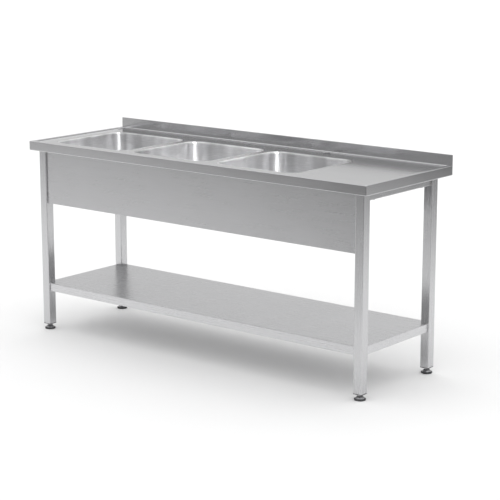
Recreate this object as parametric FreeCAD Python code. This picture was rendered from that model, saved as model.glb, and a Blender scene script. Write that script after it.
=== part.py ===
import FreeCAD, Part
import math
import os

from FreeCAD import Vector

# Commercial stainless sink table: three pressed bowls on the left, a drainboard on the right.
# Millimetres. +X runs to the drainboard end, +Y to the wall, +Z up.
# The origin is on the floor, below the middle of the table.

# Overall table
LENGTH = 1800.0
DEPTH = 600.0
RIM_Z = 850.0
UPSTAND_TOP_Z = 893.0

# Worktop: one pressed and folded sheet
SHEET = 1.2
FASCIA_HEIGHT = 40.0
RETURN_LIP = 16.0
CORNER_R = 3.0
EDGE_R = 3.0
RIM_WIDTH = 16.0
WELL_DEPTH = 5.0
WELL_RUN = 6.0
WELL_CORNER_R = 14.0
WELL_BEND_R = 2.5
UPSTAND_THICK = 5.0
UPSTAND_TOP_R = 1.5
UPSTAND_COVE_R = 5.0
TAP_HOLE_R = 17.5
TAP_HOLE_FROM_UPSTAND = 42.0
TAP_HOLE_FROM_BOWL = 12.0

# Bowls: pressed, with a flange let flush into the worktop
BOWL_SIZE = 400.0
BOWL_DEPTH = 250.0
BOWL_SHEET = 1.2
BOWL_CORNER_R = 50.0
BOWL_FLOOR_R = 30.0
BOWL_LIP_R = 7.0
BOWL_FLANGE = 12.0
BOWL_FIRST_X = -610.0
BOWL_PITCH = 456.0
BOWL_Y = -25.0
BOWL_NAMES = ("left", "centre", "right")

# Legs: closed square tube
LEG = 40.0
LEG_WALL = 1.5
LEG_CORNER_R = 3.0
LEG_INSET_SIDE = 30.0
LEG_INSET_FRONT = 30.0
LEG_INSET_REAR = 60.0
LEG_BOTTOM_Z = 27.5

# Top frame: rectangular tube between the legs, and channels under the sheet
RAIL_WIDTH = 25.0
RAIL_HEIGHT = 40.0
RAIL_WALL = 1.5
RAIL_CORNER_R = 2.5
CHANNEL_WIDTH = 30.0
CHANNEL_HEIGHT = 25.0
CHANNEL_WALL = 1.5
DRAINBOARD_CHANNEL_XS = (620.0, 740.0)
LONG_BOLT_X = 500.0
SIDE_BOLT_YS = (-180.0, 150.0)

# Front panel between the front legs
PANEL_SHEET = 1.0
PANEL_BOTTOM_Z = 576.0
PANEL_RETURN = 20.0
PANEL_HEM = 12.0
PANEL_BEND_R = 0.9
PANEL_GAP = 0.5
PANEL_RETURN_GAP = 1.0
PANEL_SCREW_ZS = (610.0, 740.0)

# Shelf: a folded pan notched around the legs
SHELF_TOP_Z = 213.0
SHELF_EDGE = 35.0
SHELF_SHEET = 1.2
SHELF_SETBACK = 7.0
SHELF_RETURN = 15.0
SHELF_RETURN_GAP = 2.0
SHELF_BEND_R = 1.8
SHELF_LEG_GAP = 0.4
HAT_WIDTH = 40.0
HAT_HEIGHT = 22.0
HAT_FLANGE = 14.0
HAT_WALL = 1.2
HAT_Y_OFFSET = 95.0
HAT_END_GAP = 25.0

# Adjustable feet
INSERT_FLANGE = 3.0
INSERT_PLUG = 25.0
INSERT_PLUG_GAP = 0.1
STUD_R = 6.0
STUD_CLEARANCE = 0.05
STUD_TOP_Z = 95.0
STUD_CHAMFER = 1.5
LOCK_NUT_FLATS = 19.0
LOCK_NUT_HEIGHT = 6.5
LOCK_NUT_CHAMFER = 2.0
PAD_R = 23.0
PAD_HEIGHT = 7.0
PAD_RIM_R = 2.0
PAD_SOCKET_R = 10.0
PAD_SOCKET_DEPTH = 3.0
CONE_FOOT_R = 19.0
CONE_FOOT_THICK = 1.2
CONE_TOP_R = 11.0
CONE_TOP_CHAMFER = 1.0

# Waste fitting in each bowl, thread size G 1 1/2
RECESS_R = 38.0
RECESS_DEPTH = 4.0
WASTE_HOLE_R = 26.0
WASTE_THREAD_R = 23.9
WASTE_BORE_R = 20.5
WASTE_FLANGE_R = 35.0
WASTE_FLANGE_THICK = 2.5
WASTE_FLANGE_EDGE = 1.0
WASTE_TAPER = 1.5
WASTE_SEAT_R = 28.0
WASTE_SEAT_DEPTH = 1.3
WASTE_BODY_LENGTH = 60.0
TRAP_THREAD_LENGTH = 40.0
THREAD_CHAMFER = 1.0
RELIEF_WIDTH = 2.0
SEAL_UPPER_THICK = 1.5
SEAL_LOWER_THICK = 3.0
SEAL_BORE_R = 24.3
SEAL_UPPER_R = 34.0
SEAL_LOWER_R = 36.0
WASTE_NUT_FLATS = 62.0
WASTE_NUT_HEIGHT = 10.0
WASTE_NUT_GAP = 0.1
STRAINER_R = 27.0
STRAINER_THICK = 1.2
STRAINER_CUP_R = 18.5
STRAINER_CUP_DEPTH = 22.0
STRAINER_HOLE_R = 2.2
STRAINER_HOLE_RINGS = ((6, 7.0), (12, 13.0))
STRAINER_STEM_R = 2.5
STRAINER_KNOB_R = 6.0
STRAINER_KNOB_THICK = 4.0
STRAINER_KNOB_CHAMFER = 1.5
STRAINER_KNOB_HEIGHT = 12.0

# M6 fixings
BOLT_R = 3.0
BOLT_HOLE_R = 3.2
BOLT_FLATS = 10.0
BOLT_HEAD = 4.0
BOLT_PAST_NUT = 3.0
NUT_HEIGHT = 5.0
RIVET_NUT_R = 4.5
RIVET_NUT_LIP_R = 6.5
RIVET_NUT_LENGTH = 12.0
SHELF_BOLT_LENGTH = 14.0
SCREW_HEAD_R = 4.5
SCREW_HEAD = 2.2
SCREW_R = 2.1
SCREW_LENGTH = 13.0

# How far a cutter runs past the face that it opens, and the closeness at which two faces count as one
PAST = 1.0
NEAR = 0.01

# Places worked out from the sizes above
FASCIA_Z = RIM_Z - FASCIA_HEIGHT
WELL_Z = RIM_Z - WELL_DEPTH
SHEET_UNDER_Z = WELL_Z - SHEET
UPSTAND_FACE_Y = DEPTH / 2 - UPSTAND_THICK
TAP_HOLE_Y = UPSTAND_FACE_Y - TAP_HOLE_FROM_UPSTAND
TAP_HOLE_X = BOWL_FIRST_X + (len(BOWL_NAMES) - 1) * BOWL_PITCH + TAP_HOLE_FROM_BOWL
RAIL_TOP_Z = SHEET_UNDER_Z - CHANNEL_HEIGHT
LEG_X = LENGTH / 2 - LEG_INSET_SIDE - LEG / 2
LEG_FRONT_Y = -DEPTH / 2 + LEG_INSET_FRONT + LEG / 2
LEG_REAR_Y = DEPTH / 2 - LEG_INSET_REAR - LEG / 2
LEGS = {
    "front_left": (-LEG_X, LEG_FRONT_Y),
    "front_right": (LEG_X, LEG_FRONT_Y),
    "rear_left": (-LEG_X, LEG_REAR_Y),
    "rear_right": (LEG_X, LEG_REAR_Y),
}
BOWL_XS = [BOWL_FIRST_X + i * BOWL_PITCH for i in range(len(BOWL_NAMES))]
BOWL_FLOOR_Z = WELL_Z - BOWL_DEPTH
RECESS_Z = BOWL_FLOOR_Z - RECESS_DEPTH
RECESS_UNDER_Z = RECESS_Z - BOWL_SHEET
INSERT_BOTTOM_Z = LEG_BOTTOM_Z - INSERT_FLANGE
LOCK_NUT_Z = INSERT_BOTTOM_Z - LOCK_NUT_HEIGHT
WORKTOP_BOLTS = [(sx * LONG_BOLT_X, y) for sx in (-1, 1) for y in (LEG_FRONT_Y, LEG_REAR_Y)]
WORKTOP_BOLTS += [(sx * LEG_X, y) for sx in (-1, 1) for y in SIDE_BOLT_YS]


def box(x0, x1, y0, y1, z0, z1):
    """Block between two corners."""
    return Part.makeBox(x1 - x0, y1 - y0, z1 - z0, Vector(x0, y0, z0))


def cylinder(x, y, z0, z1, radius):
    """Upright cylinder."""
    return Part.makeCylinder(radius, z1 - z0, Vector(x, y, z0))


def rod(start, direction, length, radius):
    """Cylinder from a point along any direction."""
    return Part.makeCylinder(radius, length, Vector(*start), Vector(*direction))


def rounded_outline(x0, x1, y0, y1, radius, z):
    """Closed wire of a rectangle with rounded corners at height z."""
    corners = [(x1 - radius, y1 - radius, 0), (x0 + radius, y1 - radius, 90),
               (x0 + radius, y0 + radius, 180), (x1 - radius, y0 + radius, 270)]
    arcs = []
    for cx, cy, start in corners:
        circle = Part.Circle(Vector(cx, cy, z), Vector(0, 0, 1), radius)
        arcs.append(circle.toShape(math.radians(start), math.radians(start + 90)))
    edges = []
    for i, arc in enumerate(arcs):
        following = arcs[(i + 1) % len(arcs)]
        edges.append(arc)
        edges.append(Part.LineSegment(arc.Vertexes[-1].Point, following.Vertexes[0].Point).toShape())
    return Part.Wire(edges)


def prism(x0, x1, y0, y1, z0, z1, radius):
    """Upright block with rounded vertical corners."""
    face = Part.Face(rounded_outline(x0, x1, y0, y1, radius, z0))
    return face.extrude(Vector(0, 0, z1 - z0))


def square_prism(x, y, size, z0, z1, radius):
    """Upright rounded square centred on a point."""
    half = size / 2
    return prism(x - half, x + half, y - half, y + half, z0, z1, radius)


def hexagon(x, y, z0, z1, flats):
    """Upright hexagonal block."""
    corner = flats / math.sqrt(3)
    points = [Vector(x + corner * math.cos(math.radians(60 * i)),
                     y + corner * math.sin(math.radians(60 * i)), z0) for i in range(7)]
    return Part.Face(Part.makePolygon(points)).extrude(Vector(0, 0, z1 - z0))


def turned(profile, x, y):
    """Solid of revolution about the upright axis through (x, y); profile is (radius, z) points."""
    points = [Vector(x + r, y, z) for r, z in profile]
    face = Part.Face(Part.makePolygon(points + points[:1]))
    return face.revolve(Vector(x, y, 0), Vector(0, 0, 1), 360)


def edges_where(shape, test):
    """Edges whose bounding box passes a test."""
    return [edge for edge in shape.Edges if test(edge.BoundBox)]


def flat_at(z):
    """Test for edges that lie level at height z."""
    return lambda b: abs(b.ZMin - z) < NEAR and abs(b.ZMax - z) < NEAR


def solid_of(shape):
    """The shape without seams, as a single solid."""
    cleaned = shape.removeSplitter()
    assert len(cleaned.Solids) == 1, f"{len(cleaned.Solids)} solids instead of 1"
    return cleaned.Solids[0]


def save(name, shape):
    """Write one sub-part."""
    assert shape.isValid(), name
    shape.exportStep(f"parts/{name}.step")


def well_cutter(inset):
    """Solid that sinks the well below the rim, run past the rear where the upstand covers it."""
    slope = WELL_RUN / WELL_DEPTH
    shift = inset * math.tan(math.atan2(WELL_DEPTH, WELL_RUN) / 2)
    outlines = []
    for z, margin in ((WELL_Z - inset, RIM_WIDTH + WELL_RUN),
                      (RIM_Z - inset + PAST, RIM_WIDTH - PAST * slope)):
        half = LENGTH / 2 - margin + shift
        radius = WELL_CORNER_R + RIM_WIDTH + WELL_RUN - margin + shift
        rear = UPSTAND_FACE_Y + inset + radius + PAST
        outlines.append(rounded_outline(-half, half, -DEPTH / 2 + margin - shift, rear, radius, z))
    return Part.makeLoft(outlines, True, True)


def worktop_envelope(inset):
    """Block bounded by the sheet's outer surface moved inwards by inset."""
    x1 = LENGTH / 2 - inset
    y1 = DEPTH / 2 - inset
    low = FASCIA_Z + inset
    rim = RIM_Z - inset
    floor = WELL_Z - inset
    top = UPSTAND_TOP_Z - inset
    face_y = UPSTAND_FACE_Y + inset
    corner_r = CORNER_R - inset
    in_front = box(-LENGTH, LENGTH, -DEPTH, face_y, 0, top + PAST)
    block = prism(-x1, x1, -y1, y1, low, top, corner_r)
    block = block.cut(in_front.common(box(-LENGTH, LENGTH, -DEPTH, DEPTH, rim, top + PAST)))
    block = block.cut(well_cutter(inset).common(in_front))

    def in_well(b):
        margin = RIM_WIDTH - WELL_BEND_R
        behind_front = -DEPTH / 2 + margin < b.YMin < face_y - NEAR
        return behind_front and max(-b.XMin, b.XMax) < LENGTH / 2 - margin

    def around(b):
        beside_upstand = abs(b.YMin - face_y) < NEAR and abs(b.YMax - face_y) < NEAR
        return flat_at(low)(b) or (flat_at(rim)(b) and not in_well(b) and not beside_upstand)

    well_rim = edges_where(block, lambda b: flat_at(rim)(b) and in_well(b))
    block = block.makeFillet(WELL_BEND_R - inset, well_rim)
    well_floor = edges_where(block, lambda b: flat_at(floor)(b) and in_well(b))
    block = block.makeFillet(WELL_BEND_R + inset, well_floor)
    block = block.makeFillet(EDGE_R - inset, edges_where(block, around))
    block = block.makeFillet(UPSTAND_TOP_R - inset, edges_where(block, flat_at(top)))
    # The cove where the sheet bends up into the upstand
    reach = LENGTH / 2 - RIM_WIDTH - WELL_RUN / 2
    cove = box(-reach, reach, face_y - UPSTAND_COVE_R, face_y, floor, floor + UPSTAND_COVE_R)
    start = (-reach, face_y - UPSTAND_COVE_R, floor + UPSTAND_COVE_R)
    return block.fuse(cove.cut(rod(start, (1, 0, 0), 2 * reach, UPSTAND_COVE_R)))


def worktop():
    """Rimmed and welled sheet with fascia, return lips, upstand, bowl cut-outs and tap hole."""
    sheet = worktop_envelope(0).cut(worktop_envelope(SHEET))
    x1 = LENGTH / 2 - RETURN_LIP
    y1 = DEPTH / 2 - RETURN_LIP
    sheet = sheet.cut(box(-x1, x1, -y1, y1, FASCIA_Z - PAST, FASCIA_Z + SHEET + PAST))
    size = BOWL_SIZE + 2 * BOWL_FLANGE
    radius = BOWL_CORNER_R + BOWL_FLANGE
    for x in BOWL_XS:
        sheet = sheet.cut(square_prism(x, BOWL_Y, size, SHEET_UNDER_Z - PAST, WELL_Z + PAST, radius))
    sheet = sheet.cut(cylinder(TAP_HOLE_X, TAP_HOLE_Y, SHEET_UNDER_Z - PAST, WELL_Z + PAST, TAP_HOLE_R))
    return solid_of(sheet)


def bowl_body(x, grow, top):
    """Upright rounded block of the bowl's hollow, grown outwards, with its drain recess."""
    size = BOWL_SIZE + 2 * grow
    body = square_prism(x, BOWL_Y, size, BOWL_FLOOR_Z - grow, top, BOWL_CORNER_R + grow)
    body = body.makeFillet(BOWL_FLOOR_R + grow, edges_where(body, flat_at(BOWL_FLOOR_Z - grow)))
    return body.fuse(cylinder(x, BOWL_Y, RECESS_Z - grow, BOWL_FLOOR_Z + PAST - grow, RECESS_R + grow))


def bowl(x):
    """Pressed bowl: flat flange, rounded lip, straight walls, radiused floor, drain hole."""
    size = BOWL_SIZE + 2 * BOWL_FLANGE
    reach = BOWL_SIZE / 2 + BOWL_SHEET + PAST

    def wall_edges(shape, z):
        def on_wall(b):
            spread = max(x - b.XMin, b.XMax - x, BOWL_Y - b.YMin, b.YMax - BOWL_Y)
            return flat_at(z)(b) and spread < reach
        return edges_where(shape, on_wall)

    flange = square_prism(x, BOWL_Y, size, SHEET_UNDER_Z, WELL_Z, BOWL_CORNER_R + BOWL_FLANGE)
    shell = flange.fuse(bowl_body(x, BOWL_SHEET, WELL_Z - SHEET / 2)).removeSplitter()
    shell = shell.makeFillet(BOWL_LIP_R - BOWL_SHEET, wall_edges(shell, SHEET_UNDER_Z))
    shell = shell.cut(bowl_body(x, 0, WELL_Z + PAST))
    shell = shell.makeFillet(BOWL_LIP_R, wall_edges(shell, WELL_Z))
    return solid_of(shell.cut(cylinder(x, BOWL_Y, RECESS_UNDER_Z - PAST, BOWL_FLOOR_Z, WASTE_HOLE_R)))


def leg(x, y):
    """Square tube leg, with holes in its two inner faces for the shelf's rivet nuts."""
    tube = square_prism(x, y, LEG, LEG_BOTTOM_Z, RAIL_TOP_Z, LEG_CORNER_R)
    inside = LEG - 2 * LEG_WALL
    inside_r = LEG_CORNER_R - LEG_WALL
    tube = tube.cut(square_prism(x, y, inside, LEG_BOTTOM_Z - PAST, RAIL_TOP_Z + PAST, inside_r))
    for start, direction in shelf_fixings(x, y):
        tube = tube.cut(rod(start, direction, LEG / 2, RIVET_NUT_R))
    if y < 0:
        for start, direction in panel_fixings(x):
            tube = tube.cut(rod(start, direction, LEG / 2, SCREW_R))
    return solid_of(tube)


def shelf_fixings(x, y):
    """Start point on each inner face of a leg and the direction into the leg, at shelf height."""
    z = SHELF_TOP_Z - SHELF_EDGE / 2
    sx = math.copysign(1, x)
    sy = math.copysign(1, y)
    return [((x - sx * LEG / 2, y, z), (sx, 0, 0)), ((x, y - sy * LEG / 2, z), (0, sy, 0))]


def panel_fixings(x):
    """Start points on a front leg's inner face and the direction into the leg, behind the panel."""
    sx = math.copysign(1, x)
    return [((x - sx * LEG / 2, LEG_FRONT_Y, z), (sx, 0, 0)) for z in PANEL_SCREW_ZS]


def rail(x0, x1, y0, y1):
    """Rectangular tube under the worktop between two legs; its long side sets the direction."""
    z0 = RAIL_TOP_Z - RAIL_HEIGHT
    along_x = x1 - x0 > y1 - y0
    tube = box(x0, x1, y0, y1, z0, RAIL_TOP_Z)
    if along_x:
        hollow = box(x0, x1, y0 + RAIL_WALL, y1 - RAIL_WALL, z0 + RAIL_WALL, RAIL_TOP_Z - RAIL_WALL)
    else:
        hollow = box(x0 + RAIL_WALL, x1 - RAIL_WALL, y0, y1, z0 + RAIL_WALL, RAIL_TOP_Z - RAIL_WALL)

    def long_edge(b):
        return max(b.XLength, b.YLength) > max(x1 - x0, y1 - y0) - PAST

    tube = tube.makeFillet(RAIL_CORNER_R, edges_where(tube, long_edge))
    hollow = hollow.makeFillet(RAIL_CORNER_R - RAIL_WALL, edges_where(hollow, long_edge))
    tube = tube.cut(hollow)
    for x, y in WORKTOP_BOLTS:
        if x0 < x < x1 and y0 < y < y1:
            tube = tube.cut(cylinder(x, y, z0 - PAST, RAIL_TOP_Z + PAST, BOLT_HOLE_R))
    return solid_of(tube)


def rails():
    """The four top rails by name."""
    half = RAIL_WIDTH / 2
    x_end = LEG_X - LEG / 2
    y_front = LEG_FRONT_Y + LEG / 2
    y_rear = LEG_REAR_Y - LEG / 2
    return {
        "rail_front": rail(-x_end, x_end, LEG_FRONT_Y - half, LEG_FRONT_Y + half),
        "rail_rear": rail(-x_end, x_end, LEG_REAR_Y - half, LEG_REAR_Y + half),
        "rail_left": rail(-LEG_X - half, -LEG_X + half, y_front, y_rear),
        "rail_right": rail(LEG_X - half, LEG_X + half, y_front, y_rear),
    }


def channel(x0, x1, y0, y1):
    """Upward-open channel welded under the worktop; its long side sets the direction."""
    z0 = RAIL_TOP_Z
    along_x = x1 - x0 > y1 - y0
    body = box(x0, x1, y0, y1, z0, SHEET_UNDER_Z)
    if along_x:
        body = body.cut(box(x0, x1, y0 + CHANNEL_WALL, y1 - CHANNEL_WALL, z0 + CHANNEL_WALL, RIM_Z))
    else:
        body = body.cut(box(x0 + CHANNEL_WALL, x1 - CHANNEL_WALL, y0, y1, z0 + CHANNEL_WALL, RIM_Z))
    for x, y in WORKTOP_BOLTS:
        if x0 < x < x1 and y0 < y < y1:
            body = body.cut(cylinder(x, y, z0 - PAST, z0 + CHANNEL_WALL + PAST, BOLT_HOLE_R))
    return solid_of(body)


def channels():
    """The channels that stiffen the worktop, by name."""
    half = CHANNEL_WIDTH / 2
    y_front = LEG_FRONT_Y - half
    y_rear = LEG_REAR_Y + half
    x_end = LEG_X - half
    made = {
        "worktop_channel_front": channel(-x_end, x_end, y_front, LEG_FRONT_Y + half),
        "worktop_channel_rear": channel(-x_end, x_end, LEG_REAR_Y - half, y_rear),
        "worktop_channel_left": channel(-LEG_X - half, -x_end, y_front, y_rear),
        "worktop_channel_right": channel(x_end, LEG_X + half, y_front, y_rear),
    }
    for side, x in zip(("inner", "outer"), DRAINBOARD_CHANNEL_XS):
        name = f"drainboard_channel_{side}"
        made[name] = channel(x - half, x + half, LEG_FRONT_Y + half, LEG_REAR_Y - half)
    return made


def worktop_bolt(x, y):
    """Hex bolt up through a rail into a channel."""
    head_z = RAIL_TOP_Z - RAIL_HEIGHT - BOLT_HEAD
    tip_z = RAIL_TOP_Z + CHANNEL_WALL + NUT_HEIGHT + BOLT_PAST_NUT
    head = hexagon(x, y, head_z, head_z + BOLT_HEAD, BOLT_FLATS)
    return solid_of(head.fuse(cylinder(x, y, head_z, tip_z, BOLT_R)))


def worktop_nut(x, y):
    """Hex nut in the channel, on the end of a worktop bolt."""
    z0 = RAIL_TOP_Z + CHANNEL_WALL
    nut = hexagon(x, y, z0, z0 + NUT_HEIGHT, BOLT_FLATS)
    return solid_of(nut.cut(cylinder(x, y, z0 - PAST, z0 + NUT_HEIGHT + PAST, BOLT_R)))


def front_panel():
    """Folded apron in front of the front rail, with returns along both legs and a hemmed bottom."""
    x1 = LEG_X - LEG / 2 - PANEL_GAP
    back_y = LEG_FRONT_Y - RAIL_WIDTH / 2
    face_y = back_y - PANEL_SHEET
    hem_y = face_y + PANEL_HEM
    low = PANEL_BOTTOM_Z
    return_top = RAIL_TOP_Z - RAIL_HEIGHT - PANEL_RETURN_GAP
    panel = box(-x1, x1, face_y, back_y, low, RAIL_TOP_Z)
    panel = panel.fuse(box(-x1, x1, face_y, hem_y, low, low + PANEL_SHEET))
    panel = panel.fuse(box(-x1, x1, hem_y - PANEL_SHEET, hem_y, low, low + PANEL_HEM))
    for sx in (-1, 1):
        inner, outer = sorted((sx * x1, sx * (x1 - PANEL_SHEET)))
        panel = panel.fuse(box(inner, outer, face_y, face_y + PANEL_RETURN, low, return_top))
        for (_, y, z), direction in panel_fixings(sx * LEG_X):
            start = (sx * (x1 - PANEL_SHEET - PAST), y, z)
            panel = panel.cut(rod(start, direction, PANEL_SHEET + 2 * PAST, SCREW_R))
    panel = solid_of(panel)

    def outer_bend(b):
        along_front = abs(b.YMin - face_y) < NEAR and abs(b.YMax - face_y) < NEAR
        return flat_at(low)(b) and along_front and b.XLength > x1

    return solid_of(panel.makeFillet(PANEL_BEND_R, edges_where(panel, outer_bend)))


def panel_screw(start, direction):
    """Pan-head screw through the panel's return into the leg."""
    gap = PANEL_GAP + PANEL_SHEET
    seat = [s - gap * d for s, d in zip(start, direction)]
    back = [s - SCREW_HEAD * d for s, d in zip(seat, direction)]
    head = rod(back, direction, SCREW_HEAD, SCREW_HEAD_R)
    return solid_of(head.fuse(rod(seat, direction, SCREW_LENGTH, SCREW_R)))


def shelf_plan(grow, z0, z1):
    """Upright block of the shelf's outline with its four corner notches, moved outwards by grow."""
    x1 = LEG_X + LEG / 2 - SHELF_SETBACK + grow
    y0 = LEG_FRONT_Y - LEG / 2 + SHELF_SETBACK - grow
    y1 = LEG_REAR_Y + LEG / 2 - SHELF_SETBACK + grow
    plan = box(-x1, x1, y0, y1, z0, z1)
    notch = LEG / 2 + SHELF_LEG_GAP - grow
    for x, y in LEGS.values():
        sx = math.copysign(1, x)
        sy = math.copysign(1, y)
        xs = sorted((x - sx * notch, x + sx * LEG))
        ys = sorted((y - sy * notch, y + sy * LEG))
        plan = plan.cut(box(xs[0], xs[1], ys[0], ys[1], z0 - PAST, z1 + PAST))
    return plan


def shelf():
    """Folded pan: flat top, downturned edges, bottom returns, notched around the legs."""
    low = SHELF_TOP_Z - SHELF_EDGE
    outer = shelf_plan(0, low, SHELF_TOP_Z)

    def bend(b):
        return (flat_at(SHELF_TOP_Z)(b) or flat_at(low)(b)) and max(b.XLength, b.YLength) > LEG

    outer = outer.makeFillet(SHELF_BEND_R, edges_where(outer, bend))
    pan = outer.cut(shelf_plan(-SHELF_SHEET, low - PAST, SHELF_TOP_Z - SHELF_SHEET))
    # The bottom returns run between the notches
    x1 = LEG_X + LEG / 2 - SHELF_SETBACK - SHELF_RETURN
    y0 = LEG_FRONT_Y - LEG / 2 + SHELF_SETBACK + SHELF_RETURN
    y1 = LEG_REAR_Y + LEG / 2 - SHELF_SETBACK - SHELF_RETURN
    lip = shelf_plan(-SHELF_SHEET / 2, low, low + SHELF_SHEET)
    lip = lip.cut(box(-x1, x1, y0, y1, low - PAST, low + SHELF_SHEET + PAST))
    past_leg = LEG / 2 + SHELF_LEG_GAP + SHELF_SHEET + SHELF_RETURN_GAP
    half = LEG_X - past_leg
    front_y = LEG_FRONT_Y + past_leg
    rear_y = LEG_REAR_Y - past_leg
    pan = pan.fuse(lip.common(box(-half, half, -DEPTH, DEPTH, low, SHELF_TOP_Z)))
    pan = pan.fuse(lip.common(box(-LENGTH, LENGTH, front_y, rear_y, low, SHELF_TOP_Z)))
    for x, y in LEGS.values():
        for start, direction in shelf_fixings(x, y):
            back = [s - (SHELF_LEG_GAP + SHELF_SHEET + PAST) * d for s, d in zip(start, direction)]
            pan = pan.cut(rod(back, direction, SHELF_SHEET + 2 * PAST, BOLT_HOLE_R))
    return solid_of(pan)


def shelf_bolt(start, direction):
    """Hex bolt through the shelf's notch flange into the leg's rivet nut."""
    seat_gap = SHELF_LEG_GAP + SHELF_SHEET
    seat = [s - seat_gap * d for s, d in zip(start, direction)]
    bolt = hexagon(0, 0, -BOLT_HEAD, 0, BOLT_FLATS).fuse(cylinder(0, 0, 0, SHELF_BOLT_LENGTH, BOLT_R))
    turn = FreeCAD.Rotation(Vector(0, 0, 1), Vector(*direction))
    return solid_of(bolt.transformGeometry(FreeCAD.Placement(Vector(*seat), turn).toMatrix()))


def rivet_nut(start, direction):
    """Threaded rivet nut set in a leg wall, its thin lip outside."""
    lip = SHELF_LEG_GAP
    nut = rod([s - lip * d for s, d in zip(start, direction)], direction, lip, RIVET_NUT_LIP_R)
    nut = nut.fuse(rod(start, direction, RIVET_NUT_LENGTH, RIVET_NUT_R))
    back = [s - PAST * d for s, d in zip(start, direction)]
    return solid_of(nut.cut(rod(back, direction, LEG / 2, BOLT_R)))


def shelf_hat(y):
    """Hat-section stiffener under the shelf."""
    top = SHELF_TOP_Z - SHELF_SHEET
    x1 = LEG_X - LEG / 2 - HAT_END_GAP
    half = HAT_WIDTH / 2
    hat = box(-x1, x1, y - half, y + half, top - HAT_HEIGHT, top)
    hat = hat.fuse(box(-x1, x1, y - half - HAT_FLANGE, y + half + HAT_FLANGE, top - HAT_WALL, top))
    inner = half - HAT_WALL
    return solid_of(hat.cut(box(-x1, x1, y - inner, y + inner, top - HAT_HEIGHT + HAT_WALL, top)))


def foot_insert(x, y):
    """Moulded plug in the leg's end with a threaded bore for the foot's stud."""
    plug_size = LEG - 2 * LEG_WALL - 2 * INSERT_PLUG_GAP
    plug_top = LEG_BOTTOM_Z + INSERT_PLUG
    body = square_prism(x, y, LEG, INSERT_BOTTOM_Z, LEG_BOTTOM_Z, LEG_CORNER_R)
    body = body.fuse(square_prism(x, y, plug_size, LEG_BOTTOM_Z, plug_top, LEG_CORNER_R - LEG_WALL))
    bore = cylinder(x, y, INSERT_BOTTOM_Z - PAST, plug_top + PAST, STUD_R + STUD_CLEARANCE)
    return solid_of(body.cut(bore))


def lock_nut(x, y):
    """Hex nut that locks the foot's stud against the insert, its lower corners chamfered."""
    nut = hexagon(x, y, LOCK_NUT_Z, INSERT_BOTTOM_Z, LOCK_NUT_FLATS)
    flat_r = LOCK_NUT_FLATS / 2
    outside_r = LOCK_NUT_FLATS
    slope = LOCK_NUT_CHAMFER / (LOCK_NUT_FLATS / math.sqrt(3) - flat_r)
    chamfer = turned([(0, LOCK_NUT_Z), (flat_r, LOCK_NUT_Z),
                      (outside_r, LOCK_NUT_Z + slope * (outside_r - flat_r)),
                      (0, LOCK_NUT_Z + slope * (outside_r - flat_r))], x, y)
    bore = cylinder(x, y, LOCK_NUT_Z - PAST, INSERT_BOTTOM_Z + PAST, STUD_R + STUD_CLEARANCE)
    return solid_of(nut.common(chamfer).cut(bore))


def foot_stud(x, y):
    """Threaded stud with a cone that sits in the pad."""
    socket_z = PAD_HEIGHT - PAD_SOCKET_DEPTH
    return solid_of(turned([(0, socket_z), (PAD_SOCKET_R, socket_z), (PAD_SOCKET_R, PAD_HEIGHT),
                            (CONE_FOOT_R, PAD_HEIGHT), (CONE_FOOT_R, PAD_HEIGHT + CONE_FOOT_THICK),
                            (CONE_TOP_R, LOCK_NUT_Z - CONE_TOP_CHAMFER),
                            (CONE_TOP_R - CONE_TOP_CHAMFER, LOCK_NUT_Z), (STUD_R, LOCK_NUT_Z),
                            (STUD_R, STUD_TOP_Z - STUD_CHAMFER), (STUD_R - STUD_CHAMFER, STUD_TOP_Z),
                            (0, STUD_TOP_Z)], x, y))


def foot_pad(x, y):
    """Round plastic pad under the stud."""
    pad = cylinder(x, y, 0, PAD_HEIGHT, PAD_R)
    pad = pad.makeFillet(PAD_RIM_R, edges_where(pad, lambda b: flat_at(0)(b) or flat_at(PAD_HEIGHT)(b)))
    return solid_of(pad.cut(cylinder(x, y, PAD_HEIGHT - PAD_SOCKET_DEPTH, PAD_HEIGHT + PAST, PAD_SOCKET_R)))


def waste_body(x):
    """Flanged drain tube: strainer seat, threads for the back nut and the trap, relief between them."""
    under = RECESS_Z + SEAL_UPPER_THICK
    top = under + WASTE_FLANGE_THICK
    seat = top - WASTE_SEAT_DEPTH
    end = under - WASTE_BODY_LENGTH
    trap_top = end + THREAD_CHAMFER + TRAP_THREAD_LENGTH
    relief_r = WASTE_THREAD_R - THREAD_CHAMFER
    return solid_of(turned([(WASTE_BORE_R, end), (relief_r, end), (WASTE_THREAD_R, end + THREAD_CHAMFER),
                            (WASTE_THREAD_R, trap_top), (relief_r, trap_top),
                            (relief_r, trap_top + RELIEF_WIDTH), (WASTE_THREAD_R, trap_top + RELIEF_WIDTH),
                            (WASTE_THREAD_R, under), (WASTE_FLANGE_R, under),
                            (WASTE_FLANGE_R, under + WASTE_FLANGE_EDGE), (WASTE_SEAT_R + WASTE_TAPER, top),
                            (WASTE_SEAT_R, top), (WASTE_SEAT_R, seat), (WASTE_BORE_R + WASTE_TAPER, seat),
                            (WASTE_BORE_R, seat - WASTE_TAPER)], x, BOWL_Y))


def ring(x, z0, z1, bore, radius):
    """Flat ring around a bowl's drain axis."""
    disc = cylinder(x, BOWL_Y, z0, z1, radius)
    return solid_of(disc.cut(cylinder(x, BOWL_Y, z0 - PAST, z1 + PAST, bore)))


def waste_nut(x):
    """Large hex back nut that clamps the waste to the bowl's floor."""
    top = RECESS_UNDER_Z - SEAL_LOWER_THICK
    low = top - WASTE_NUT_HEIGHT
    nut = hexagon(x, BOWL_Y, low, top, WASTE_NUT_FLATS)
    return solid_of(nut.cut(cylinder(x, BOWL_Y, low - PAST, top + PAST, WASTE_THREAD_R + WASTE_NUT_GAP)))


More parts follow.
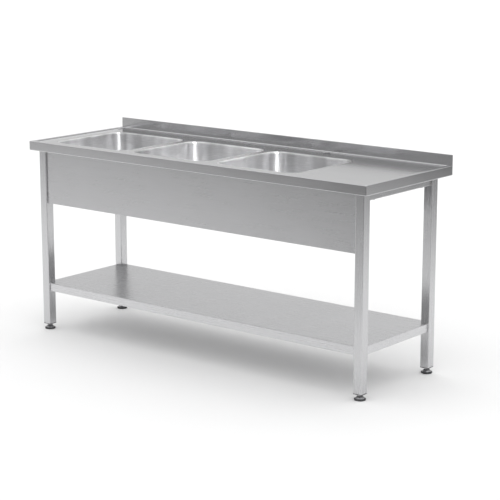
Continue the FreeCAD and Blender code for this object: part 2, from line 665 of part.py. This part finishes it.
def strainer(x):
    """Lift-out strainer: perforated cup with a rim and a pull knob."""
    rim_z = RECESS_Z + SEAL_UPPER_THICK + WASTE_FLANGE_THICK - WASTE_SEAT_DEPTH
    top = rim_z + STRAINER_THICK
    bottom = rim_z - STRAINER_CUP_DEPTH
    inner = STRAINER_CUP_R - STRAINER_THICK
    floor = bottom + STRAINER_THICK
    knob_top = rim_z + STRAINER_THICK + STRAINER_KNOB_HEIGHT
    knob_low = knob_top - STRAINER_KNOB_THICK
    cup = turned([(0, bottom), (STRAINER_CUP_R, bottom), (STRAINER_CUP_R, rim_z), (STRAINER_R, rim_z),
                  (STRAINER_R, top), (inner, top), (inner, floor), (STRAINER_STEM_R, floor),
                  (STRAINER_STEM_R, knob_low - STRAINER_KNOB_CHAMFER), (STRAINER_KNOB_R, knob_low),
                  (STRAINER_KNOB_R, knob_top - STRAINER_KNOB_CHAMFER),
                  (STRAINER_KNOB_R - STRAINER_KNOB_CHAMFER, knob_top), (0, knob_top)], x, BOWL_Y)
    for count, radius in STRAINER_HOLE_RINGS:
        for i in range(count):
            turn = 2 * math.pi * i / count
            hx = x + radius * math.cos(turn)
            hy = BOWL_Y + radius * math.sin(turn)
            cup = cup.cut(cylinder(hx, hy, bottom - PAST, floor + PAST, STRAINER_HOLE_R))
    return solid_of(cup)


def main():
    os.makedirs("parts", exist_ok=True)
    save("worktop", worktop())
    for name, x in zip(BOWL_NAMES, BOWL_XS):
        seal_top = RECESS_Z + SEAL_UPPER_THICK
        seal_low = RECESS_UNDER_Z - SEAL_LOWER_THICK
        save(f"bowl_{name}", bowl(x))
        save(f"waste_body_{name}", waste_body(x))
        save(f"waste_seal_upper_{name}", ring(x, RECESS_Z, seal_top, SEAL_BORE_R, SEAL_UPPER_R))
        save(f"waste_seal_lower_{name}", ring(x, seal_low, RECESS_UNDER_Z, SEAL_BORE_R, SEAL_LOWER_R))
        save(f"waste_nut_{name}", waste_nut(x))
        save(f"strainer_{name}", strainer(x))
    for name, (x, y) in LEGS.items():
        save(f"leg_{name}", leg(x, y))
        save(f"foot_insert_{name}", foot_insert(x, y))
        save(f"foot_stud_{name}", foot_stud(x, y))
        save(f"foot_pad_{name}", foot_pad(x, y))
    for name, shape in {**rails(), **channels()}.items():
        save(name, shape)
    save("front_panel", front_panel())
    save("shelf", shelf())
    shelf_middle = (LEG_FRONT_Y + LEG_REAR_Y) / 2
    save("shelf_hat_front", shelf_hat(shelf_middle - HAT_Y_OFFSET))
    save("shelf_hat_rear", shelf_hat(shelf_middle + HAT_Y_OFFSET))
    # Identical fasteners share a node each, as separate solids
    shelf_points = [fixing for x, y in LEGS.values() for fixing in shelf_fixings(x, y)]
    panel_points = [fixing for sx in (-1, 1) for fixing in panel_fixings(sx * LEG_X)]
    save("shelf_bolts", Part.makeCompound([shelf_bolt(*fixing) for fixing in shelf_points]))
    save("shelf_rivet_nuts", Part.makeCompound([rivet_nut(*fixing) for fixing in shelf_points]))
    save("panel_screws", Part.makeCompound([panel_screw(*fixing) for fixing in panel_points]))
    save("worktop_bolts", Part.makeCompound([worktop_bolt(*point) for point in WORKTOP_BOLTS]))
    save("worktop_nuts", Part.makeCompound([worktop_nut(*point) for point in WORKTOP_BOLTS]))
    save("foot_lock_nuts", Part.makeCompound([lock_nut(*point) for point in LEGS.values()]))


main()
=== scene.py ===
import math

import bmesh
import bpy
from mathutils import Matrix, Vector


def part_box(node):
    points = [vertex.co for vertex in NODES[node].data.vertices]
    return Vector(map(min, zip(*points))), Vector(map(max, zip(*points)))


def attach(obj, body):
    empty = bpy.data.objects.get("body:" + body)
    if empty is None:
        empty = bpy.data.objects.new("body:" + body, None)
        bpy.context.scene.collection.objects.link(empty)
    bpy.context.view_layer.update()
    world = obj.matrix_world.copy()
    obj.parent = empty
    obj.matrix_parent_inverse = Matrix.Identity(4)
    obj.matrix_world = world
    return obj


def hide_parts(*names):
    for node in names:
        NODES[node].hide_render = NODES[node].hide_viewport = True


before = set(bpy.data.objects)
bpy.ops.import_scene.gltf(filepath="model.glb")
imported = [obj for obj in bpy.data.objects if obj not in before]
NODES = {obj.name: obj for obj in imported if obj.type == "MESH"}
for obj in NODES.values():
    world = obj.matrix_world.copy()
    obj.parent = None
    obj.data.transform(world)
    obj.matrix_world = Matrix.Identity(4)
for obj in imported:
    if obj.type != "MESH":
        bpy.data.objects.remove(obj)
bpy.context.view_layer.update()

# Metres, in the frame of the part: +X along the table to the drainboard, +Y to the wall, +Z up.
LEG_NAMES = ("front_left", "front_right", "rear_left", "rear_right")
BOWL_NAMES = ("left", "centre", "right")
RAIL_NODES = ("rail_front", "rail_rear", "rail_left", "rail_right")
HAT_NODES = ("shelf_hat_front", "shelf_hat_rear")

# Camera: it looks along the table from in front of its drainboard end. Degrees, and a lens in millimetres.
CAMERA_PLACE = (4.3055, -5.2006, 1.9028)
CAMERA_YAW = 38.943
CAMERA_PITCH = -12.282
CAMERA_LENS = 117.36
CAMERA_SENSOR = 36.0

# Floor: its paleness, and the painted shade it shows in reflections, which stands in for light falling off
# away
# from the table: how that shade changes per metre from the middle, sideways, to the left and to the rear
FLOOR_SIZE = 120.0
FLOOR_ROUGHNESS = 0.9
FLOOR_GLOSS = 0.1
PALE = 0.80
FLOOR_CENTRE = 1.10
FALL_WITH_DISTANCE = 0.32
RISE_SIDEWAYS = 0.235
RISE_TO_LEFT = 0.052
RISE_TO_REAR = 0.06
DIMMEST = 0.12

# Surroundings: the dome lights the floor, and shiny surfaces mirror the other levels instead. An edge is
# the pair of values between which one level turns into the next. The key softbox adds to the softbox at
# the given bearing, in degrees from +X.
DOME_LEVEL = 1.36
FRONT_LEVEL = 0.40
BACK_LEVEL = 0.72
BACK_EDGE = (0.4, 1.3)
CEILING_LEVEL = 1.50
CEILING_EDGE = (0.30, 0.60)
SOFTBOXES = 7
SOFTBOX_BEARING = -39.0
SOFTBOX_EDGE = (-0.5, 0.5)
KEY_LEVEL = 4.6
KEY_EDGE = (0.90, 0.99)
WHITE = (1.0, 1.0, 1.0, 1.0)
MAX_BOUNCES = 16
GLOSSY_BOUNCES = 14


# ---------------------------------------------------------------- node tree helpers

# Sockets of a Mix node, for numbers and for colours, which share their names
MIX_FACTOR, MIX_A, MIX_B, MIX_OUT = 0, 2, 3, 0
MIX_COLOUR_A, MIX_COLOUR_B, MIX_COLOUR_OUT = 6, 7, 2


class Graph:
    """A node tree under construction; its methods add nodes and return an output socket."""

    def __init__(self, tree):
        self.nodes = tree.nodes
        self.links = tree.links

    def feed(self, value, socket):
        """Links a value to a socket, or sets the socket where the value is a plain number."""
        if isinstance(value, (int, float)):
            socket.default_value = value
        else:
            self.links.new(value, socket)

    def math(self, operation, a, b=0.0):
        """Arithmetic on one or two values."""
        node = self.nodes.new("ShaderNodeMath")
        node.operation = operation
        self.feed(a, node.inputs[0])
        self.feed(b, node.inputs[1])
        return node.outputs["Value"]

    def total(self, first, *others):
        """Sum of several values."""
        for other in others:
            first = self.math("ADD", first, other)
        return first

    def ranged(self, value, low, high, to_low, to_high, soft=False):
        """Maps a value's range onto another, clamped, with soft ends where asked."""
        node = self.nodes.new("ShaderNodeMapRange")
        if soft:
            node.interpolation_type = "SMOOTHSTEP"
        self.links.new(value, node.inputs["Value"])
        node.inputs["From Min"].default_value = low
        node.inputs["From Max"].default_value = high
        node.inputs["To Min"].default_value = to_low
        node.inputs["To Max"].default_value = to_high
        return node.outputs["Result"]

    def coordinates(self, kind):
        """Texture coordinates of a kind."""
        return self.nodes.new("ShaderNodeTexCoord").outputs[kind]

    def separated(self, vector):
        """X, Y and Z of a vector."""
        node = self.nodes.new("ShaderNodeSeparateXYZ")
        self.links.new(vector, node.inputs["Vector"])
        return [node.outputs[axis] for axis in "XYZ"]

    def in_reflections(self, elsewhere, mirrored):
        """One value for rays mirrored by a shiny surface, and another for all other rays."""
        node = self.nodes.new("ShaderNodeMix")
        self.feed(self.nodes.new("ShaderNodeLightPath").outputs["Is Glossy Ray"], node.inputs[MIX_FACTOR])
        self.feed(elsewhere, node.inputs[MIX_A])
        self.feed(mirrored, node.inputs[MIX_B])
        return node.outputs[MIX_OUT]


class Shader(Graph):
    """A material under construction."""

    def __init__(self, name):
        self.material = bpy.data.materials.new(name)
        self.material.use_nodes = True
        super().__init__(self.material.node_tree)
        self.bsdf = self.nodes["Principled BSDF"]
        self.coords = self.coordinates("Object")

    def put(self, socket, value):
        """Gives the surface a value or a plain number for one of its sockets."""
        self.feed(value, self.bsdf.inputs[socket])

    def noise(self, scale, detail, roughness=0.55):
        """Noise from 0 to 1 with a scale for each axis; a small scale makes streaks along that axis."""
        mapping = self.nodes.new("ShaderNodeMapping")
        mapping.inputs["Scale"].default_value = scale
        self.links.new(self.coords, mapping.inputs["Vector"])
        node = self.nodes.new("ShaderNodeTexNoise")
        node.inputs["Scale"].default_value = 1.0
        node.inputs["Detail"].default_value = detail
        node.inputs["Roughness"].default_value = roughness
        self.links.new(mapping.outputs["Vector"], node.inputs["Vector"])
        return node.outputs["Fac"]

    def tinted(self, factor, tint, darkest, lightest, lift=0.0):
        """Colours the surface between two shades of a tint."""
        node = self.nodes.new("ShaderNodeMix")
        node.data_type = "RGBA"
        self.links.new(factor, node.inputs["Factor"])
        node.inputs[MIX_COLOUR_A].default_value = (*[c * darkest for c in tint], 1.0)
        node.inputs[MIX_COLOUR_B].default_value = (*[min(1.0, c * lightest + lift) for c in tint], 1.0)
        self.links.new(node.outputs[MIX_COLOUR_OUT], self.bsdf.inputs["Base Color"])

    def bumped(self, height, distance, strength):
        """Gives the surface a relief from a height value."""
        node = self.nodes.new("ShaderNodeBump")
        node.inputs["Distance"].default_value = distance
        node.inputs["Strength"].default_value = strength
        self.links.new(height, node.inputs["Height"])
        self.links.new(node.outputs["Normal"], self.bsdf.inputs["Normal"])

    def directed(self, vector):
        """Sets the direction that stretched highlights go by."""
        node = self.nodes.new("ShaderNodeCombineXYZ")
        for socket, value in zip(node.inputs, vector):
            socket.default_value = value
        self.links.new(node.outputs["Vector"], self.bsdf.inputs["Tangent"])


# ---------------------------------------------------------------- materials

X_AXIS, Y_AXIS, Z_AXIS = 0, 1, 2

# Where most values of a noise lie
MIDDLE = (0.3, 0.7)

# A direction's small parts off its axis, so that it suits faces square to that axis too
SLIGHT = 0.02

# Brushed steel. Noise scales are per metre; shades are shares of the tint; the turn makes highlights
# stretch across the grain.
ACROSS_GRAIN = 0.25
GRAIN_LENGTH = 6.0
GRAIN_FINE = 700.0
GRAIN_COARSE = 160.0
FINE_SHARE = 0.6
GRAIN_SHADE = 0.04
GRAIN_ROUGHNESS = 0.04
GRAIN_DEPTH = 0.00012
GRAIN_STRENGTH = 0.35
SMEARS = (3.1, 3.7, 3.3)
SMEAR_SHADE = 0.03
SMEAR_EDGE = (0.35, 0.65)
SMEAR_ROUGHNESS = 0.012
SCUFF_FINE = 45.0
SCUFF_EDGE = (0.62, 0.74)
SCUFF_ROUGHNESS = 0.05
SHADE_SPAN = 0.3
BRUSHED_SHADES = (0.80, 1.20)

# Drawn steel: level grinding lines, smears, small marks, upright bands of painted reflection streaks and a
# slight bow of the walls
DRAWN_LINES = (25.0, 25.0, 900.0)
DRAWN_SMEARS = (9.0, 9.0, 5.0)
DRAWN_MARKS = (38.0, 38.0, 16.0)
PAINTED_STREAKS = (8.5, 8.5, 0.7)
DRAWN_BOW = (5.0, 5.0, 1.5)
LINES_IN_TONE = 0.25
SMEARS_IN_TONE = 0.25
TONE_EDGE = (0.62, 0.88)
DRAWN_SHADES = (0.62, 1.08)
DRAWN_ROUGHNESS = 0.03
MARK_EDGE = (0.6, 0.72)
MARK_ROUGHNESS = 0.07
LINES_IN_BOW = 0.02
BOWL_WALL_BOW = 0.003

# Metal with no grain
PLAIN_FINE = 900.0
PLAIN_BROAD = (60.0, 60.0, 60.0)
PLAIN_SHADES = (0.82, 1.12)
PLAIN_ROUGHNESS = (-0.06, 0.08)
PLAIN_DEPTH = 0.00010
PLAIN_STRENGTH = 0.3

# Moulded plastic and rubber
PITS = (1400.0, 1400.0, 1400.0)
DUST = (70.0, 70.0, 70.0)
DUST_EDGE = (0.4, 0.75)
DUST_SHADES = (1.0, 1.5)
DUST_LIFT = 0.02
DUST_ROUGHNESS = (-0.05, 0.1)
PIT_DEPTH = 0.00015
PIT_STRENGTH = 0.4
DULL_GLOSS = 0.25


def along(axis, across):
    """Noise scale for each axis that makes streaks along one axis."""
    return tuple(GRAIN_LENGTH if i == axis else across for i in range(3))


def brushed_steel(name, tint, roughness, axis, anisotropy):
    """Stainless sheet or tube brushed along an axis, with faint smears and scuffs."""
    s = Shader(name)
    s.put("Metallic", 1.0)
    s.put("Anisotropic", anisotropy)
    s.put("Anisotropic Rotation", ACROSS_GRAIN)
    s.directed([1.0 if i == axis else SLIGHT * (i + 1) for i in range(3)])
    fine = s.noise(along(axis, GRAIN_FINE), detail=2.0)
    coarse = s.noise(along(axis, GRAIN_COARSE), detail=4.0)
    smear = s.noise(SMEARS, detail=5.0, roughness=0.6)
    scuff = s.noise(along(axis, SCUFF_FINE), detail=6.0, roughness=0.7)
    lines = s.total(s.math("MULTIPLY", fine, FINE_SHARE), s.math("MULTIPLY", coarse, 1 - FINE_SHARE))
    shade = s.total(s.ranged(lines, *MIDDLE, -GRAIN_SHADE, GRAIN_SHADE),
                    s.ranged(smear, *MIDDLE, -SMEAR_SHADE, SMEAR_SHADE))
    s.tinted(s.ranged(shade, -SHADE_SPAN, SHADE_SPAN, 0.0, 1.0), tint, *BRUSHED_SHADES)
    s.put("Roughness", s.total(
        s.ranged(lines, *MIDDLE, roughness - GRAIN_ROUGHNESS, roughness + GRAIN_ROUGHNESS),
        s.ranged(scuff, *SCUFF_EDGE, 0.0, SCUFF_ROUGHNESS),
        s.ranged(smear, *SMEAR_EDGE, -SMEAR_ROUGHNESS, SMEAR_ROUGHNESS)))
    s.bumped(lines, GRAIN_DEPTH, GRAIN_STRENGTH)
    return s.material


def drawn_steel(name, tint, roughness, anisotropy):
    """Deep-drawn stainless, ground level all round, so that highlights stretch up its walls."""
    s = Shader(name)
    s.put("Metallic", 1.0)
    s.put("Anisotropic", anisotropy)
    s.directed((SLIGHT, SLIGHT * 2, 1.0))
    lines = s.noise(DRAWN_LINES, detail=2.0)
    smear = s.noise(DRAWN_SMEARS, detail=5.0, roughness=0.6)
    marks = s.noise(DRAWN_MARKS, detail=6.0, roughness=0.65)
    # Painted reflection streaks: upright bands of lighter and darker tone up the bowl walls
    painted_streaks = s.noise(PAINTED_STREAKS, detail=1.5, roughness=0.6)
    bowed = s.noise(DRAWN_BOW, detail=0.0)
    tone = s.total(s.math("MULTIPLY", lines, LINES_IN_TONE), s.math("MULTIPLY", smear, SMEARS_IN_TONE), painted_streaks)
    s.tinted(s.ranged(tone, *TONE_EDGE, 0.0, 1.0), tint, *DRAWN_SHADES)
    s.put("Roughness", s.total(
        s.ranged(smear, *MIDDLE, roughness - DRAWN_ROUGHNESS, roughness + DRAWN_ROUGHNESS),
        s.ranged(marks, *MARK_EDGE, 0.0, MARK_ROUGHNESS)))
    s.bumped(s.total(s.math("MULTIPLY", lines, LINES_IN_BOW), bowed), BOWL_WALL_BOW, 1.0)
    return s.material


def plain_metal(name, tint, roughness, fine=PLAIN_FINE):
    """Metal with no grain: turned, cold-headed, plated or welded."""
    s = Shader(name)
    s.put("Metallic", 1.0)
    broad = s.noise(PLAIN_BROAD, detail=4.0)
    s.tinted(s.ranged(broad, *MIDDLE, 0.0, 1.0), tint, *PLAIN_SHADES)
    s.put("Roughness", s.ranged(broad, *MIDDLE, *[roughness + change for change in PLAIN_ROUGHNESS]))
    s.bumped(s.noise((fine, fine, fine), detail=3.0), PLAIN_DEPTH, PLAIN_STRENGTH)
    return s.material


def moulded(name, tint, roughness):
    """Moulded plastic or rubber with a fine spark-eroded texture and dusty high spots."""
    s = Shader(name)
    s.put("Specular IOR Level", DULL_GLOSS)
    dust = s.noise(DUST, detail=5.0)
    s.tinted(s.ranged(dust, *DUST_EDGE, 0.0, 1.0), tint, *DUST_SHADES, lift=DUST_LIFT)
    s.put("Roughness", s.ranged(dust, *MIDDLE, *[roughness + change for change in DUST_ROUGHNESS]))
    s.bumped(s.noise(PITS, detail=3.0), PIT_DEPTH, PIT_STRENGTH)
    return s.material


MATERIALS = {
    "worktop": brushed_steel("worktop_steel", (0.60, 0.60, 0.61), 0.17, X_AXIS, 0.35),
    "bowl": drawn_steel("bowl_steel", (0.90, 0.90, 0.91), 0.34, 0.97),
    "tube": brushed_steel("tube_steel", (0.59, 0.59, 0.60), 0.26, Z_AXIS, 0.4),
    "rail_x": brushed_steel("rail_steel_x", (0.57, 0.57, 0.58), 0.27, X_AXIS, 0.4),
    "rail_y": brushed_steel("rail_steel_y", (0.57, 0.57, 0.58), 0.27, Y_AXIS, 0.4),
    "panel": brushed_steel("panel_steel", (0.57, 0.57, 0.58), 0.30, X_AXIS, 0.4),
    "shelf": brushed_steel("shelf_steel", (0.63, 0.63, 0.64), 0.28, X_AXIS, 0.3),
    "stiffener": brushed_steel("stiffener_steel", (0.50, 0.50, 0.51), 0.36, X_AXIS, 0.2),
    "fastener": plain_metal("fastener_steel", (0.60, 0.60, 0.61), 0.30),
    "foot_metal": plain_metal("foot_steel", (0.34, 0.34, 0.35), 0.38),
    "weld": plain_metal("weld_bead_steel", (0.48, 0.47, 0.45), 0.38, fine=1500.0),
    "chrome": plain_metal("waste_chrome", (0.74, 0.74, 0.76), 0.12),
    "strainer": plain_metal("strainer_steel", (0.68, 0.68, 0.70), 0.20),
    "foot_plastic": moulded("foot_plastic_dark", (0.035, 0.035, 0.038), 0.60),
    "nut_plastic": moulded("nut_plastic_white", (0.72, 0.72, 0.70), 0.42),
    "rubber": moulded("seal_rubber_black", (0.02, 0.02, 0.02), 0.6),
}

# The material of each CAD node, by how its name starts; the first match counts
FINISHES = {
    "rail_front": "rail_x", "rail_rear": "rail_x", "rail_": "rail_y",
    "worktop_bolts": "fastener", "worktop_nuts": "fastener", "worktop_channel": "stiffener",
    "worktop": "worktop", "bowl_": "bowl", "waste_body": "chrome", "waste_seal": "rubber",
    "waste_nut": "nut_plastic", "strainer": "strainer", "leg_": "tube", "foot_insert": "foot_plastic",
    "foot_stud": "foot_metal", "foot_pad": "foot_plastic", "foot_lock": "fastener",
    "drainboard_channel": "stiffener", "front_panel": "panel", "shelf_hat": "stiffener",
    "shelf_bolts": "fastener", "shelf_rivet": "fastener", "shelf": "shelf", "panel_screws": "fastener",
}

for name, node in NODES.items():
    finish = next(kind for start, kind in FINISHES.items() if name.startswith(start))
    node.data.materials.clear()
    node.data.materials.append(MATERIALS[finish])


# ---------------------------------------------------------------- fine detail built on the frame

# Levelling stud: an M12 thread above a cone, which is a list of radii and heights above the stud's foot
STUD_R = 0.006
THREAD_DEPTH = 0.00107
THREAD_PITCH = 0.00175
THREAD_STEPS = 8
THREAD_RUN_OUT = 0.0012
FLANK_STEEPNESS = 1.2
STUD_SIDES = 32
CONE = ((0.010, 0.0), (0.010, 0.003), (0.0185, 0.003), (0.019, 0.0034), (0.019, 0.0039), (0.0185, 0.0043),
        (0.011, 0.0130), (0.0100, 0.0140))

# Weld bead: its ripple and its thin ends are shares of its radius
BEAD_R = 0.0016
BEAD_PITCH = 0.0018
BEAD_STEPS = 4
BEAD_FEWEST_STEPS = 8
BEAD_SIDES = 8
BEAD_RIPPLE = 0.16
BEAD_TIP = 0.35

# Spot weld: a list of radii and depths below the face, and the stiffener that carries the row
SPOT = ((0.0030, 0.0), (0.0026, 0.00018), (0.0015, 0.00028))
SPOT_PITCH = 0.11
SPOT_SIDES = 16
HAT_FLANGE = 0.014
HAT_WALL = 0.0012

# Crease in a bowl's floor: distances from the drain, a section in shares of the width and the height, and
# the first crease's bearing in degrees
CREASE_START = 0.052
CREASE_END = 0.205
CREASE_WIDTH = 0.008
CREASE_HEIGHT = 0.0007
CREASE_STEPS = 24
CREASE_TIP = 0.05
CREASE_FULLNESS = 0.5
CREASE_SECTION = ((-0.5, -0.1), (0.5, -0.1), (0.25, 0.75), (0.0, 1.0), (-0.25, 0.75))
CREASES = 4
FIRST_CREASE = 45.0
FLOOR_ABOVE_LOWEST = 0.0052

# Angle in degrees from which an edge looks sharp, on turned pieces and on soft ones
SHARP_IF_TURNED = 40.0
SHARP_IF_SOFT = 80.0


def lofted(bm, rings):
    """Closed skin through rings of equal length, with a face over each end."""
    made = [[bm.verts.new(point) for point in ring] for ring in rings]
    count = len(made[0])
    for low, high in zip(made, made[1:]):
        for i in range(count):
            j = (i + 1) % count
            bm.faces.new((low[i], low[j], high[j], high[i]))
    bm.faces.new(list(reversed(made[0])))
    bm.faces.new(made[-1])


def finished(name, bm, material, body, sharp=SHARP_IF_SOFT):
    """Turns a mesh under construction into a piece that rides on a body."""
    bmesh.ops.recalc_face_normals(bm, faces=bm.faces)
    mesh = bpy.data.meshes.new(name)
    bm.to_mesh(mesh)
    bm.free()
    for face in mesh.polygons:
        face.use_smooth = True
    mesh.set_sharp_from_angle(angle=math.radians(sharp))
    mesh.materials.append(MATERIALS[material])
    piece = bpy.data.objects.new(name, mesh)
    bpy.context.scene.collection.objects.link(piece)
    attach(piece, body)
    return piece


def turns(count):
    """Angles evenly spaced round a full turn."""
    return [2 * math.pi * i / count for i in range(count)]


def ring_at(x, y, z, radius, sides):
    """Ring of points about a vertical axis."""
    return [(x + radius * math.cos(a), y + radius * math.sin(a), z) for a in turns(sides)]


def thread_radius(z, angle, strength):
    """Radius of a right-handed screw thread at a height and an angle."""
    phase = (z / THREAD_PITCH - angle / (2 * math.pi)) % 1.0
    flank = min(1.0, FLANK_STEEPNESS * abs(2 * phase - 1))
    return STUD_R - THREAD_DEPTH * (1 - flank * strength)


def thread_ring(x, y, z, strength):
    """Ring of points about a vertical axis on the screw thread."""
    radii = [(a, thread_radius(z, a, strength)) for a in turns(STUD_SIDES)]
    return [(x + r * math.cos(a), y + r * math.sin(a), z) for a, r in radii]


def threaded_foot(leg):
    """Levelling stud with a real screw thread above its cone."""
    low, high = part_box("foot_stud_" + leg)
    x, y = (low.x + high.x) / 2, (low.y + high.y) / 2
    rings = [ring_at(x, y, low.z + up, radius, STUD_SIDES) for radius, up in CONE]
    start = low.z + CONE[-1][1]
    count = int((high.z - start) / (THREAD_PITCH / THREAD_STEPS))
    for i in range(count + 1):
        z = start + (high.z - start) * i / count
        strength = min(1.0, (z - start) / THREAD_RUN_OUT, (high.z - z) / THREAD_RUN_OUT)
        rings.append(thread_ring(x, y, z, strength))
    bm = bmesh.new()
    lofted(bm, rings)
    piece = finished("foot_stud_threaded_" + leg, bm, "foot_metal", "foot_" + leg,
                     sharp=SHARP_IF_TURNED)
    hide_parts("foot_stud_" + leg)


def bead(bm, start, end):
    """Rippled weld bead along a straight joint, thinner at its two ends."""
    start, end = Vector(start), Vector(end)
    forward = (end - start).normalized()
    side = forward.orthogonal().normalized()
    other = forward.cross(side)
    length = (end - start).length
    count = max(BEAD_FEWEST_STEPS, round(length / BEAD_PITCH) * BEAD_STEPS)
    rings = []
    for i in range(count + 1):
        at = length * i / count
        ripple = 1 - BEAD_RIPPLE + BEAD_RIPPLE * abs(math.sin(math.pi * at / BEAD_PITCH))
        taper = min(1.0, BEAD_TIP + min(at, length - at) / BEAD_PITCH)
        radius = BEAD_R * ripple * taper
        centre = start + forward * at
        outward = [side * math.cos(a) + other * math.sin(a) for a in turns(BEAD_SIDES)]
        rings.append([centre + way * radius for way in outward])
    lofted(bm, rings)


def rail_welds(rail):
    """Beads down both sides and along the bottom where a rail meets a leg, at each of its ends."""
    low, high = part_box(rail)
    run = X_AXIS if high.x - low.x > high.y - low.y else Y_AXIS
    across = Y_AXIS if run == X_AXIS else X_AXIS
    bm = bmesh.new()
    for end in (low[run], high[run]):
        corners = []
        for side, z in ((low, high.z), (low, low.z), (high, low.z), (high, high.z)):
            corner = [0.0, 0.0, z]
            corner[run] = end
            corner[across] = side[across]
            corners.append(corner)
        for start, stop in zip(corners, corners[1:]):
            bead(bm, start, stop)
    finished("welds_" + rail, bm, "weld", "table")


def hat_spot_welds(hat):
    """Shallow marks of the spot welds along both flanges of a shelf stiffener."""
    low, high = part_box(hat)
    face = high.z - HAT_WALL
    count = round((high.x - low.x) / SPOT_PITCH)
    bm = bmesh.new()
    for y in (low.y + HAT_FLANGE / 2, high.y - HAT_FLANGE / 2):
        for i in range(count):
            x = low.x + (high.x - low.x) * (i + 0.5) / count
            lofted(bm, [ring_at(x, y, face - down, radius, SPOT_SIDES) for radius, down in SPOT])
    finished("spot_welds_" + hat, bm, "weld", "table")


def floor_creases(bowl):
    """Four shallow pressed ridges that lead from a bowl's corners to its drain."""
    low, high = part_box("bowl_" + bowl)
    drain = Vector(((low.x + high.x) / 2, (low.y + high.y) / 2, low.z + FLOOR_ABOVE_LOWEST))
    bm = bmesh.new()
    for i in range(CREASES):
        angle = math.radians(FIRST_CREASE + 360 / CREASES * i)
        outward = Vector((math.cos(angle), math.sin(angle), 0.0))
        side = Vector((-outward.y, outward.x, 0.0))
        rings = []
        for step in range(CREASE_STEPS + 1):
            part = step / CREASE_STEPS
            swell = max(CREASE_TIP, math.sin(math.pi * part) ** CREASE_FULLNESS)
            at = drain + outward * (CREASE_START + (CREASE_END - CREASE_START) * part)
            rings.append([at + side * (CREASE_WIDTH * u * swell) + Vector((0, 0, CREASE_HEIGHT * v * swell))
                          for u, v in CREASE_SECTION])
        lofted(bm, rings)
    finished("floor_creases_" + bowl, bm, "bowl", "table")


for leg_name in LEG_NAMES:
    threaded_foot(leg_name)
for rail_name in RAIL_NODES:
    rail_welds(rail_name)
for hat_name in HAT_NODES:
    hat_spot_welds(hat_name)
for bowl_name in BOWL_NAMES:
    floor_creases(bowl_name)


# ---------------------------------------------------------------- floor, surroundings and camera

def make_floor():
    """Plain pale floor, larger than anything seen. In reflections it shows painted shade that grows darker
    away from the table.
    """
    mesh = bpy.data.meshes.new("studio_floor")
    half = FLOOR_SIZE / 2
    corners = [(-half, -half, 0), (half, -half, 0), (half, half, 0), (-half, half, 0)]
    mesh.from_pydata(corners, [], [(0, 1, 2, 3)])
    floor = bpy.data.objects.new("studio_floor", mesh)
    bpy.context.scene.collection.objects.link(floor)
    s = Shader("studio_floor_paint_with_painted_falloff")
    s.put("Roughness", FLOOR_ROUGHNESS)
    s.put("Specular IOR Level", FLOOR_GLOSS)
    x, y, _ = s.separated(s.coords)
    distance = s.nodes.new("ShaderNodeVectorMath")
    distance.operation = "LENGTH"
    s.links.new(s.coords, distance.inputs[0])
    # Painted falloff of light, seen only in reflections: the floor's colour darkens away from the middle and
    # lightens sideways, to the left and to the rear
    painted_falloff = s.total(
        s.math("MULTIPLY", distance.outputs["Value"], -FALL_WITH_DISTANCE),
        s.math("MULTIPLY", s.math("ABSOLUTE", x), RISE_SIDEWAYS),
        s.math("MULTIPLY", x, -RISE_TO_LEFT),
        s.math("MULTIPLY", s.math("MAXIMUM", y, 0.0), RISE_TO_REAR),
        FLOOR_CENTRE)
    painted_falloff = s.math("MAXIMUM", s.math("MINIMUM", painted_falloff, PALE), DIMMEST)
    s.put("Base Color", s.in_reflections(PALE, painted_falloff))
    mesh.materials.append(s.material)


def make_world():
    """Surroundings: an even white dome for the floor, and softboxes above that shiny surfaces mirror."""
    world = bpy.data.worlds.new("studio")
    bpy.context.scene.world = world
    world.use_nodes = True
    g = Graph(world.node_tree)
    x, y, z = g.separated(g.coordinates("Generated"))
    behind = g.ranged(g.math("SUBTRACT", y, x), *BACK_EDGE, FRONT_LEVEL, BACK_LEVEL, soft=True)
    above = g.ranged(z, *CEILING_EDGE, 0.0, CEILING_LEVEL, soft=True)
    turned = g.math("ADD", g.math("ARCTAN2", y, x), math.radians(-SOFTBOX_BEARING))
    waves = g.math("COSINE", g.math("MULTIPLY", turned, SOFTBOXES))
    boxes = g.total(g.ranged(waves, *SOFTBOX_EDGE, 0.0, 1.0, soft=True),
                    g.ranged(g.math("COSINE", turned), *KEY_EDGE, 0.0, KEY_LEVEL, soft=True))
    mirrored = g.math("MAXIMUM", behind, g.math("MULTIPLY", above, boxes))
    background = g.nodes["Background"]
    g.feed(g.in_reflections(DOME_LEVEL, mirrored), background.inputs["Strength"])
    background.inputs["Color"].default_value = WHITE


def make_camera():
    """Camera with the view that the object is shown from."""
    data = bpy.data.cameras.new("camera")
    data.lens = CAMERA_LENS
    data.sensor_width = CAMERA_SENSOR
    camera = bpy.data.objects.new("camera", data)
    bpy.context.scene.collection.objects.link(camera)
    camera.location = CAMERA_PLACE
    camera.rotation_euler = (math.radians(90 + CAMERA_PITCH), 0.0, math.radians(CAMERA_YAW))
    bpy.context.scene.camera = camera


bpy.context.scene.view_settings.view_transform = "Standard"
bpy.context.scene.cycles.max_bounces = MAX_BOUNCES
bpy.context.scene.cycles.glossy_bounces = GLOSSY_BOUNCES
make_floor()
make_world()
make_camera()
